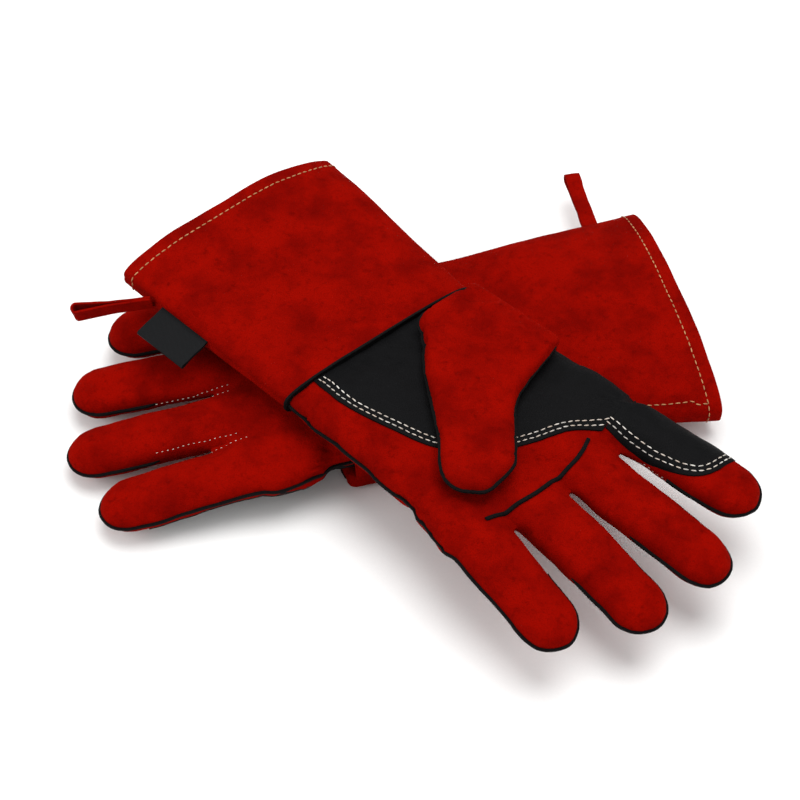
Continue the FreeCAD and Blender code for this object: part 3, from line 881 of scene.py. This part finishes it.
class GLOVES_OT_stage(bpy.types.Operator):
    """Sets up the camera, the pale floor and the soft lights"""
    bl_idname = "gloves.stage"
    bl_label = "Stage"

    def execute(self, context):
        scene = context.scene
        target, distance = Vector((-2.3, -1.2, 15.0)) * MM, 1.061
        rise = math.radians(50.0)
        data = bpy.data.cameras.new("Camera")
        data.lens, data.sensor_width = 85.0, 36.0
        camera = bpy.data.objects.new("Camera", data)
        camera.location = target + Vector((0, -math.cos(rise), math.sin(rise))) * distance
        camera.rotation_euler = (math.radians(90.0) - rise, 0, 0)
        scene.collection.objects.link(camera)
        scene.camera = camera
        corners = [(-4000, -4000, -0.3), (4000, -4000, -0.3), (4000, 4000, -0.3), (-4000, 4000, -0.3)]
        floor = new_piece("Floor", corners, [(0, 1, 2, 3)], False)
        floor.data.materials.append(finishes("Studio paper")[0])
        for name, place, size, power in (
            ("Overhead", (0.2, 0.3, 1.7), 1.6, 24.0),
            ("Window left", (-1.5, -0.5, 1.1), 1.2, 13.0),
            ("Fill right", (1.5, -0.9, 0.9), 1.4, 7.0),
        ):
            light = bpy.data.lights.new(name, "AREA")
            light.shape, light.size, light.energy = "DISK", size, power
            lamp = bpy.data.objects.new(name, light)
            lamp.location = place
            lamp.rotation_euler = (-Vector(place)).to_track_quat("-Z", "Y").to_euler()
            scene.collection.objects.link(lamp)
        world = bpy.data.worlds.new("Studio")
        world.use_nodes = True
        sky = world.node_tree.nodes["Background"].inputs
        sky["Color"].default_value = (1, 1, 1, 1)
        sky["Strength"].default_value = 0.62
        scene.world = world
        scene.view_settings.view_transform = "Standard"
        return {"FINISHED"}


class PerGlove:
    """Does an operator's work for one glove after the other."""

    def execute(self, context):
        for side, glove in gloves().items():
            self.sew(side, glove)
        return {"FINISHED"}


class GLOVES_OT_hands(PerGlove, bpy.types.Operator):
    """Sews the hands and fingers: red leather, fleece inside"""
    bl_idname = "gloves.hands"
    bl_label = "Hands and fingers"

    def sew(self, side, glove):
        sizes = pattern()
        thickness = sizes.leather + sizes.lining
        skin = hand_skin(glove)
        made[side] = tree_of(skin)
        skin, cap = split(skin, "skin", "cap", (0, 0.8, 0), (0, 1, 0))
        bpy.data.objects.remove(cap)
        cut = []
        for i, finger in enumerate(FINGERS):
            base, ahead = glove.finger_to_hand(finger, [(0, SPLIT_AT, 0), (0, SPLIT_AT + 1, 0)])

            def own(places, i=i, base=base, ahead=ahead):
                return (glove.nearest_finger(places) == i) & ((places - base) @ (ahead - base) > -20)

            part, skin = split(skin, "part", "skin", base, ahead - base, own)
            front, back = halves(part, glove)
            cut += [(front, f"{side}_{finger}_front_leather", finger, (f"{side}_{finger}_finger_front",)),
                    (back, f"{side}_{finger}_back_leather", finger, (f"{side}_{finger}_finger_back",))]
        front, back = halves(skin, glove)
        cut += [(front, f"{side}_palm_leather", None, (f"{side}_palm_panel", f"{side}_hand_lining")),
                (back, f"{side}_back_leather", None, (f"{side}_hand_back",))]
        for piece, name, finger, nodes in cut:
            piece.name = name
            thickened(piece, thickness, 1)
            sewn(piece, glove, LINED_SUEDE, nodes, finger)


def round_outline(corners):
    """A closed outline through corners (x, y, radius), each rounded by its radius, as many points."""
    out = []
    count = len(corners)
    for i, (x, y, radius) in enumerate(corners):
        here = np.array((x, y))
        back = np.array(corners[i - 1][:2]) - here
        ahead = np.array(corners[(i + 1) % count][:2]) - here
        back, ahead = back / np.linalg.norm(back), ahead / np.linalg.norm(ahead)
        half = math.acos(float(np.clip(back @ ahead, -1, 1))) / 2
        middle = here + (back + ahead) / np.linalg.norm(back + ahead) * radius / math.sin(half)
        start, end = (here + way * radius / math.tan(half) - middle for way in (back, ahead))
        for t in np.linspace(0, 1, 9):
            spoke = start * (1 - t) + end * t
            out.append(middle + spoke / np.linalg.norm(spoke) * radius)
    out.append(out[0])
    return resampled(out, SEAM_STEP)[:-1]


def thumb_outline(glove):
    """The thumb's outline folded over the palm, from its root at the hand's radial side."""
    corners = [(-66, 6, 3), (-24, 6, 14), (57, 95, 15), (41, 114, 12), (18, 114, 16), (-16, 88, 30),
               (-66, 82, 5)]
    return round_outline([(x + glove.shift, y, r) for x, y, r in corners])


def inwards(outline):
    """Unit vectors into a closed outline that runs anticlockwise."""
    ahead = np.roll(outline, -1, axis=0) - np.roll(outline, 1, axis=0)
    ahead /= np.linalg.norm(ahead, axis=1, keepdims=True)
    return np.column_stack([-ahead[:, 1], ahead[:, 0]])


def shrunk(outline, inset):
    return outline + inwards(outline) * inset


class GLOVES_OT_thumbs(PerGlove, bpy.types.Operator):
    """Sews the thumbs, folded over the palms, with the strip in their seams"""
    bl_idname = "gloves.thumbs"
    bl_label = "Thumbs"

    def sew(self, side, glove):
        sizes = pattern()
        outline = thumb_outline(glove)
        low, high = THUMB_FLOOR, THUMB_FLOOR + sizes.thumb_thickness - 2.4
        rings = []
        for height, inset in ((low, 6.5), (low + 1.0, 3.6), ((low + high) / 2, 2.0), (high - 1.2, 3.4),
                              (high, 6.5)):
            flat = shrunk(outline, inset)
            rings.append(np.column_stack([flat, np.full(len(flat), height * glove.palm)]))
        skin = remeshed(loft(f"{side}_thumb_skin", rings), 2.2, 5)
        skin = inflated(skin, 6.0, 2.4, points_of(skin)[:, 0] < outline[:, 0].min() + 6.0)
        skin = rumpled(rumpled(skin, 1.0, 26.0, 14.0 + glove.palm), 0.45, 9.0, 21.0 + glove.palm)
        made[f"{side}_thumb"] = tree_of(skin)
        seam = glove.palm * (low + high) / 2
        outside, inside = halves(skin, glove, seam)
        hinge = glove.thumb_hinge[0]
        bend = {"start": glove.place(hinge - 3.0, 45, seam), "end": glove.place(hinge + 14.0, 45, seam)}
        for piece, name, node in ((outside, "outer", "outside"), (inside, "inner", "inside")):
            piece.name = f"{side}_thumb_{name}_leather"
            thickened(piece, sizes.leather + sizes.lining, 1)
            sewn(piece, glove, LINED_SUEDE, (f"{side}_thumb_{node}",), body=False)
            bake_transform(piece)
        root = outline[:, 0].min()
        first = int(np.argmin(np.hypot(outline[:, 0] - (root + 6), outline[:, 1] - 6)))
        order = np.roll(np.arange(len(outline)), -first)
        keep = [i for i in order if outline[i, 0] > root + 8]
        out = np.column_stack([-inwards(outline), np.zeros(len(outline))])[keep]
        inner = np.column_stack([shrunk(outline, 5.0), np.full(len(outline), seam)])[keep]
        hits = edge_points(f"{side}_thumb", inner, out, 3.0)
        run = run_along(hits)
        past_tip = ease((run[-1] - run) / run[-1] * 3.2)
        lip = sizes.welt_lip * ease(0.2 + run / 9.0) * (0.35 + 0.65 * past_tip)
        welt = ribbon(f"{side}_thumb_seam_strip", hits - out * SEWN_IN, hits + out * lip[:, None], (0, 0, 1),
                      sizes.welt)
        sewn(welt, glove, STRIP, (f"{side}_thumb_welt",), body=False)
        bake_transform(welt)
        self.sew_root(glove, outline, seam)

    def sew_root(self, glove, outline, seam):
        """The piece of leather from the hand's radial seam round to the thumb's root."""
        rows = np.linspace(12.0, 76.0, 28)
        inside = np.column_stack([0 * rows - 30.0, rows, 0 * rows])
        border = edge_points(glove.side, inside, np.tile([-1.0, 0, 0], (len(rows), 1)))
        root = outline[:, 0].min() + 3.0
        half_thickness = 0.9
        over, under = [], []
        for y, (edge, _, _) in zip(rows, border):
            start = np.array((edge + 2.0, y, glove.palm * 1.5))
            end = np.array((root + 2.0, y, seam))
            bulge = np.array((min(edge, root) - 1.5, y, (start[2] + end[2]) / 2))
            line = [start * (1 - t) ** 2 + bulge * 2 * t * (1 - t) + end * t * t
                    for t in np.linspace(0, 1, 10)]
            under.append(np.array(line) + (half_thickness, 0, 0))
            over.append(np.array(line) - (half_thickness, 0, 0))
        piece = slab_on(f"{glove.side}_thumb_root_leather", np.array(under), np.array(over))
        sewn(piece, glove, BARE_SUEDE)


def gauntlet_ring(glove, y, inset=0.0, count=160):
    """One ring of the gauntlet's skin at a distance behind the wrist seam, shrunk by inset."""
    sizes = pattern()
    mouth = glove.mouth
    t = min(1.0, -y / GAUNTLET_LENGTH)
    half = sizes.wrist_half_width * (1 - t) + mouth["half_width"] * t
    up = sizes.hand_half_height * (1 - t) + mouth["up"] * t
    down = sizes.hand_half_height * (1 - t) + mouth["down"] * t
    ring = section(half - inset, up - inset, down - inset, 3.2 - 0.9 * t, count)
    middle = (mouth["at"][0] * t, y, mouth["at"][1] * t)
    ring[:, 1] += ring[:, 0] * (math.tan(math.radians(mouth["yaw"])) - glove.slant) * t
    pinch = 0.9 * np.exp(-(ring[:, 2] / 2.2) ** 2) * (np.abs(ring[:, 0]) > half * 0.8)
    ring[:, 0] -= np.sign(ring[:, 0]) * pinch
    sign = np.where(ring[:, 2] >= 0, 1.0, -1.0)
    for k in range(count):
        at = Vector((ring[k, 0] / 46.0, y / 46.0, sign[k] * 3.0 + glove.palm))
        fine = Vector((ring[k, 0] / 15.0, y / 15.0, sign[k] * 7.0 + glove.palm))
        soft = min(1.0, abs(ring[k, 2]) / 8.0) * min(1.0, -y / 12.0)
        ring[k, 2] += (noise.noise(at) * 3.0 + noise.noise(fine) * 0.5) * soft
    return ring + middle


class GLOVES_OT_gauntlets(PerGlove, bpy.types.Operator):
    """Sews the gauntlets: two panels with a turned hem, a twill lining and the strip in the wrist seam"""
    bl_idname = "gloves.gauntlets"
    bl_label = "Gauntlets"

    def sew(self, side, glove):
        sizes = pattern()
        mouth = -GAUNTLET_LENGTH
        steps = [(y, 0.0) for y in np.linspace(-0.9, mouth, 46)]
        steps += [(mouth - HEM_FOLD * math.sin(a), HEM_FOLD - HEM_FOLD * math.cos(a))
                  for a in np.linspace(0.4, math.pi, 7)]
        steps += [(y, 2 * HEM_FOLD) for y in np.linspace(mouth + 2.0, mouth + sizes.hem_depth, 5)]
        rings = [gauntlet_ring(glove, y, inset) for y, inset in steps]
        count = len(rings[0])
        for top in (True, False):
            columns = range(0, count // 2 + 1) if top else range(count // 2, count + 1)
            grid = np.array([[ring[c % count] for c in columns] for ring in rings])
            wide = grid.shape[1]
            faces = [(r * wide + c, r * wide + c + 1, (r + 1) * wide + c + 1, (r + 1) * wide + c)
                     for r in range(len(rings) - 1) for c in range(wide - 1)]
            palm_side = top == (glove.palm > 0)
            name = f"{side}_gauntlet_{'palm' if palm_side else 'back'}"
            piece = new_piece(name + "_leather", grid.reshape(-1, 3), faces)
            middle = piece.data.polygons[(wide - 1) * 20 + wide // 2]
            if (middle.normal.z > 0) != top:
                piece.data.flip_normals()
            thickened(piece, sizes.leather)
            nodes = [name + "_panel"] + ([f"{side}_cuff_hem"] if palm_side else [])
            sewn(piece, glove, ("Red split",), nodes)
            self.declare(piece, glove, grid[0], grid[45], GAUNTLET_LENGTH + 2 * HEM_FOLD + sizes.hem_depth)
        behind = np.linspace(-1.0, mouth + sizes.hem_depth + 0.6, 28)
        rings = [gauntlet_ring(glove, y, 1.75, 96) for y in behind]
        lining = thickened(loft(f"{side}_gauntlet_twill", rings, False), sizes.lining * 0.7)
        sewn(lining, glove, ("Cotton twill",), (f"{side}_gauntlet_lining",))
        near, far = (np.vstack([ring, ring[:1]]) for ring in (rings[0], rings[-1]))
        self.declare(lining, glove, near, far, GAUNTLET_LENGTH - sizes.hem_depth)
        wrist = section(sizes.wrist_half_width, sizes.hand_half_height, sizes.hand_half_height, 3.2, 120)
        ahead = np.roll(wrist, -1, axis=0) - np.roll(wrist, 1, axis=0)
        out = np.column_stack([ahead[:, 2], 0 * ahead[:, 0], -ahead[:, 0]])
        out /= np.linalg.norm(out, axis=1, keepdims=True)
        if (out * wrist).sum() < 0:
            out = -out
        lip = 1.25 + 0.35 * np.array([noise.noise(Vector(p) / 13.0) for p in wrist])
        welt = ribbon(f"{side}_wrist_seam_strip", wrist - out * 2.6, wrist + out * lip[:, None], (0, 1, 0),
                      sizes.welt, True)
        sewn(welt, glove, STRIP, (f"{side}_wrist_welt",))

    def declare(self, piece, glove, near, far, long):
        """Measures a tapering panel's lines at the wrist and at the mouth, and keeps nothing of it."""
        near, far = run_along(near)[-1], run_along(far)[-1]


class GLOVES_OT_strips(PerGlove, bpy.types.Operator):
    """Sews the black strips into the seams of hands and fingers"""
    bl_idname = "gloves.strips"
    bl_label = "Seam strips"

    def sew(self, side, glove):
        sizes = pattern()
        for sign, name, finger in ((-1.0, "index", "index"), (1.0, "little", "little")):
            end = glove.finger_to_hand(finger, [(sign * 17, SPLIT_AT, 0)])[0][1]
            origins, directions = hand_side(glove, sign, 1.0, end)
            seam_strip(glove, f"{side}_{name}_side_strip", origins, directions, False,
                       nodes=(f"{side}_{name}_side_welt",))
        for finger, reach in finger_lengths().items():
            inner = 0.46 * reach
            starts = (SPLIT_AT if finger == "index" else inner, SPLIT_AT if finger == "little" else inner)
            origins, directions = finger_round(glove, finger, *starts)
            seam_strip(glove, f"{side}_{finger}_seam_strip", origins, directions,
                       finger in ("middle", "ring"), finger, (f"{side}_{finger}_finger_welt",))
        path = [(-25.0, 127.5), (-13.0, 131.5), (4.0, 130.0), (22.0, 128.5), (39.0, 123.5), (52.0, 119.5)]
        path = resampled(smoothed(np.array(path) + (glove.shift, 0)), SEAM_STEP)
        across = flat_3d(left_of(path))
        flat = on_skin(glove, flat_3d(path), 0.0)
        up = np.array([0, 0, glove.palm])
        name = f"{side}_finger_base_strip"
        strip = ribbon(name, flat - up * 1.2, flat + up * 1.4, across, sizes.welt * 1.3)
        sewn(strip, glove, STRIP, (f"{side}_finger_base_welt",))


class GLOVES_OT_patches(PerGlove, bpy.types.Operator):
    """Lays the black reinforcement over the palm and the index finger"""
    bl_idname = "gloves.patches"
    bl_label = "Palm patches"

    def sew(self, side, glove):
        edge = patch_edge(glove)
        last = glove.finger_to_hand("index", [(0, SPLIT_AT, 0)])[0][1]
        rows = np.linspace(1.0, last, 52)
        origins, directions = hand_side(glove, -1.0, 1.0, last)
        border = edge_points(side, origins, directions)
        radial = np.interp(rows, border[:, 1], border[:, 0]) + 0.7
        reach = np.interp(rows, edge[:, 1], edge[:, 0])
        grid = np.array([[(a + (b - a) * t, y, 0.0) for t in np.linspace(0, 1, 44)]
                         for y, a, b in zip(rows, radial, reach)])
        self.lay_patch(glove, grid, f"{side}_palm_patch_leather", f"{side}_palm_patch")
        edge = finger_patch_edge()
        rows = np.linspace(SPLIT_AT, 60.5, 30)
        tops = np.interp(rows, edge[:, 1], edge[:, 0])
        grid = np.array([[(-17.0 + (b + 17.0) * t, y, 0.0) for t in np.linspace(0, 1, 16)]
                         for y, b in zip(rows, tops)])
        flat = glove.finger_to_hand("index", grid.reshape(-1, 3)).reshape(grid.shape)
        self.lay_patch(glove, flat, f"{side}_index_patch_leather", f"{side}_index_finger_patch", "index")

    def lay_patch(self, glove, grid, name, node, finger=None):
        """Leather over a grid of places on the skin. Where the skin curves away it bridges to the seam."""
        under = on_skin(glove, grid.reshape(-1, 3), -0.6).reshape(grid.shape)
        missed = np.abs(under[..., 2]) < 0.5
        under[missed] = under[missed] * (1, 1, 0) + np.array([0, 0, glove.palm * 0.6])
        over = under + np.array([0, 0, glove.palm * (pattern().patch + 0.6)])
        sewn(slab_on(name, under, over), glove, PATCH, (node,), finger)


def stitch_tree():
    """Geometry nodes that lay stitches end to end along a path."""
    tree = bpy.data.node_groups.new("Stitches", "GeometryNodeTree")
    face = tree.interface
    face.new_socket("Path", in_out="INPUT", socket_type="NodeSocketGeometry")
    for name, value in (("Stitch", 0.003), ("Gap", 0.001), ("Thread", 0.00075)):
        face.new_socket(name, in_out="INPUT", socket_type="NodeSocketFloat").default_value = value
    face.new_socket("Material", in_out="INPUT", socket_type="NodeSocketMaterial")
    face.new_socket("Stitches", in_out="OUTPUT", socket_type="NodeSocketGeometry")
    given = add(tree, "NodeGroupInput").outputs
    pitch = add(tree, "ShaderNodeMath", {0: given["Stitch"], 1: given["Gap"]}, operation="ADD").outputs[0]
    curve = add(tree, "GeometryNodeMeshToCurve", {"Mesh": given["Path"]}).outputs["Curve"]
    even = {"Curve": curve, "Length": pitch}
    even = add(tree, "GeometryNodeResampleCurve", even, mode="LENGTH").outputs["Curve"]
    bead = add(tree, "GeometryNodeMeshUVSphere", {"Segments": 6, "Rings": 5, "Radius": 0.5}).outputs["Mesh"]
    size = {"X": given["Thread"], "Y": given["Thread"], "Z": given["Stitch"]}
    size = add(tree, "ShaderNodeCombineXYZ", size).outputs[0]
    bead = add(tree, "GeometryNodeTransform", {"Geometry": bead, "Scale": size}).outputs["Geometry"]
    jitter = add(tree, "FunctionNodeRandomValue", {"Seed": 7}, data_type="FLOAT_VECTOR")
    jitter.inputs[0].default_value, jitter.inputs[1].default_value = (-0.12,) * 3, (0.12,) * 3
    tangent = add(tree, "GeometryNodeInputTangent").outputs["Tangent"]
    heading = {0: tangent, 1: jitter.outputs[0]}
    heading = add(tree, "ShaderNodeVectorMath", heading, operation="ADD").outputs[0]
    turned = add(tree, "FunctionNodeAlignRotationToVector", {"Vector": heading}, axis="Z").outputs["Rotation"]
    laid = add(tree, "GeometryNodeInstanceOnPoints", {"Points": even, "Instance": bead, "Rotation": turned})
    real = add(tree, "GeometryNodeRealizeInstances", {"Geometry": laid.outputs["Instances"]})
    dressed = {"Geometry": real.outputs["Geometry"], "Material": given["Material"]}
    dressed = add(tree, "GeometryNodeSetMaterial", dressed)
    add(tree, "NodeGroupOutput", {"Stitches": dressed.outputs["Geometry"]})
    return tree


def stitched(glove, name, paths, finish_name="Seam thread", stitch=None, gap=None, finger=None, thick=1.0):
    """Stitches along paths in the hand frame, as one plain mesh."""
    sizes = pattern()
    points, edges = [], []
    for path in paths:
        laid = glove.lay(path)
        edges += [(len(points) + i, len(points) + i + 1) for i in range(len(laid) - 1)]
        points += laid.tolist()
    mesh = bpy.data.meshes.new(name)
    mesh.from_pydata(points, edges, [])
    piece = linked(name, mesh)
    tree = bpy.data.node_groups.get("Stitches") or stitch_tree()
    sewing = piece.modifiers.new("Stitches", "NODES")
    sewing.node_group = tree
    values = {"Stitch": (stitch or sizes.stitch) * MM, "Gap": (gap or sizes.stitch_gap) * MM,
              "Thread": sizes.thread * thick * MM, "Material": finishes(finish_name)[0]}
    for item in tree.interface.items_tree:
        if item.in_out == "INPUT" and item.name in values:
            sewing[item.identifier] = values[item.name]
    apply_modifiers(piece)
    piece.data.shade_smooth()
    finish(piece, [finish_name], None if finger else f"{glove.side}_glove")
    if finger:
        blended(piece, glove, finger)
    return piece


class GLOVES_OT_stitching(PerGlove, bpy.types.Operator):
    """Sews the rows of stitches on cuffs, patches, sides and finger folds"""
    bl_idname = "gloves.stitching"
    bl_label = "Stitching"

    def sew(self, side, glove):
        sizes = pattern()
        lift = sizes.patch + 0.25
        ring = gauntlet_ring(glove, -130.0 + sizes.hem_stitch, -0.2)
        stitched(glove, f"{side}_hem_stitches", [np.vstack([ring, ring[:1]])], "Hem thread")
        last = glove.finger_to_hand("index", [(0, SPLIT_AT, 0)])[0][1]
        rows = [row[2:][row[2:, 1] < last - 1.0] for row in self.rows_inside(patch_edge(glove))]
        stitched(glove, f"{side}_patch_stitches", [on_skin(glove, flat_3d(row), lift) for row in rows])
        rows = [row[(row[:, 0] > -14.0) & (row[:, 1] > SPLIT_AT)]
                for row in self.rows_inside(finger_patch_edge())]
        rows = [on_skin(glove, glove.finger_to_hand("index", flat_3d(row)), lift) for row in rows]
        stitched(glove, f"{side}_index_patch_stitches", rows, finger="index")
        back = -glove.palm
        radial = []
        for y in np.linspace(-6.0, -122.0, 60):
            whole = gauntlet_ring(glove, y, -0.2)
            whole = whole[whole[:, 2] * back > glove.mouth["at"][1] * min(1, -y / GAUNTLET_LENGTH) * back]
            radial.append(whole[np.argmin(np.abs(whole[:, 0] - (whole[:, 0].min() + 4.5)))])
        stitched(glove, f"{side}_side_stitches", [np.array(radial)], "Hem thread")
        for finger, reach in finger_lengths().items():
            rows = []
            for sign in (-1.0, 1.0):
                if (finger, sign) in (("index", -1.0), ("little", 1.0)):
                    continue
                y = np.linspace(SPLIT_AT + 1, 0.46 * reach, 30)
                beside = sign * (15.8 if glove.palm < 0 else 13.6)
                flat = glove.finger_to_hand(finger, np.column_stack([beside + 0 * y, y, 0 * y]))
                rows.append(on_skin(glove, flat, -0.1, back))
            name = f"{side}_{finger}_fold_stitches"
            stitched(glove, name, rows, stitch=1.2, gap=1.7, finger=finger, thick=0.6)

    def rows_inside(self, edge):
        """The two rows of stitches inside a patch's edge."""
        edge = resampled(edge, 1.5)
        return [edge + left_of(edge) * inset for inset in (2.4, 5.2)]


def strip_matrix(glove, from_mouth, gap, swing, droop, roll):
    """Where a folded strip is sewn into the little-finger side of the cuff, with +X outwards."""
    mouth = glove.mouth
    yaw = math.radians(mouth["yaw"])
    wide = mouth["half_width"]
    x, z = mouth["at"]
    far = Vector((x, -GAUNTLET_LENGTH, z)) + Vector((wide * math.cos(yaw), wide * math.sin(yaw), 0))
    wrist = math.atan(glove.slant)
    near = Vector((math.cos(wrist), math.sin(wrist), 0)) * pattern().wrist_half_width
    along = (near - far).normalized()
    place = Matrix.Translation(far + along * from_mouth)
    place = place @ Matrix.Rotation(math.atan2(-along.x, along.y), 4, "Z") @ Matrix.Translation((gap, 0, 0))
    for degrees, axis in ((swing, "Z"), (droop, "Y"), (roll, "X")):
        place = place @ Matrix.Rotation(math.radians(degrees), 4, axis)
    return place


def folded_strip(name, width, reach, thickness, eye, curl):
    """A strip folded back on itself along +X, with a round eye at the fold.

    Its cut sides take the second material slot.
    """
    end = reach - eye
    near = thickness * 0.55
    line = [(-1.0, near), (2.0, near), (end * 0.55, near * 1.15), (end, eye * 0.8)]
    arc = [(end + eye * math.sin(a), eye * math.cos(a)) for a in np.linspace(0.55, math.pi - 0.55, 9)]
    back = [(x, -z) for x, z in reversed(line)]
    path = resampled(smoothed(line + arc + back, 2), 1.4)
    across = np.linspace(-0.5, 0.5, 9)
    under, over = [], []
    for (x, z), (nx, nz) in zip(path, left_of(path)):
        row = []
        for t in across:
            bow = curl * (0.25 - t * t) * min(1.0, max(0.0, x / reach))
            row.append((x, t * width + 0.5 * noise.noise(Vector((x / 9, t, z))), z + bow))
        row = np.array(row)
        step = np.array((nx, 0, nz)) * thickness / 2
        under.append(row - step)
        over.append(row + step)
    return slab_on(name, np.array(under), np.array(over))


class GLOVES_OT_tabs(PerGlove, bpy.types.Operator):
    """Folds the hanging loops and the blank label"""
    bl_idname = "gloves.tabs"
    bl_label = "Loops and label"

    def sew(self, side, glove):
        swing, droop, roll = {"right": (-10.0, 0.0, 0.0), "left": (-45.0, 10.0, 80.0)}[side]
        corner = 4.5 * math.cos(math.radians(roll)) * math.sin(math.radians(abs(swing)))
        place = strip_matrix(glove, 26.0, 2.0 + corner, swing, droop, roll)
        loop = folded_strip(f"{side}_loop_strip", width=9.0, reach=44.0, thickness=1.3, eye=3.4, curl=1.2)
        self.lay_strip(loop, glove, place)
        body = f"{side}_hanging_loop"
        finish(loop, BARE_SUEDE, body, (body,))
        if side == "left":
            label = folded_strip("left_label_ribbon", width=36.0, reach=20.0, thickness=0.6, eye=1.4,
                                 curl=0.8)
            self.lay_strip(label, glove, strip_matrix(glove, 52.0, gap=0.6, swing=0.0, droop=15.0, roll=0.0))
            finish(label, ("Label ribbon", "Label ribbon"), "left_label", ("left_label",))

    def lay_strip(self, strip, glove, place):
        laid = [glove.matrix @ (place @ Vector(p) * MM) for p in points_of(strip)]
        set_points(strip, [tuple(p) for p in laid], 1.0)


class GLOVES_PT_panel(bpy.types.Panel):
    """Sizes, colours and pieces of the gloves"""
    bl_label = "Welding gloves"
    bl_space_type = "VIEW_3D"
    bl_region_type = "UI"
    bl_category = "Gloves"

    def draw(self, context):
        for group in (context.scene.glove_pattern, context.scene.glove_colours):
            box = self.layout.box()
            for name in group.__annotations__:
                box.prop(group, name)
        for operator in OPERATORS:
            self.layout.operator(operator.bl_idname)


OPERATORS = (GLOVES_OT_stage, GLOVES_OT_hands, GLOVES_OT_thumbs, GLOVES_OT_gauntlets, GLOVES_OT_strips,
             GLOVES_OT_patches, GLOVES_OT_stitching, GLOVES_OT_tabs)
CLASSES = (GlovePattern, GloveColours, *OPERATORS, GLOVES_PT_panel)


def register():
    for entry in CLASSES:
        bpy.utils.register_class(entry)
    bpy.types.Scene.glove_pattern = bpy.props.PointerProperty(type=GlovePattern)
    bpy.types.Scene.glove_colours = bpy.props.PointerProperty(type=GloveColours)


def unregister():
    del bpy.types.Scene.glove_colours
    del bpy.types.Scene.glove_pattern
    for entry in reversed(CLASSES):
        bpy.utils.unregister_class(entry)


def main():
    register()
    for operator in OPERATORS:
        group, name = operator.bl_idname.split(".")
        getattr(getattr(bpy.ops, group), name)()


if __name__ == "__main__":
    main()
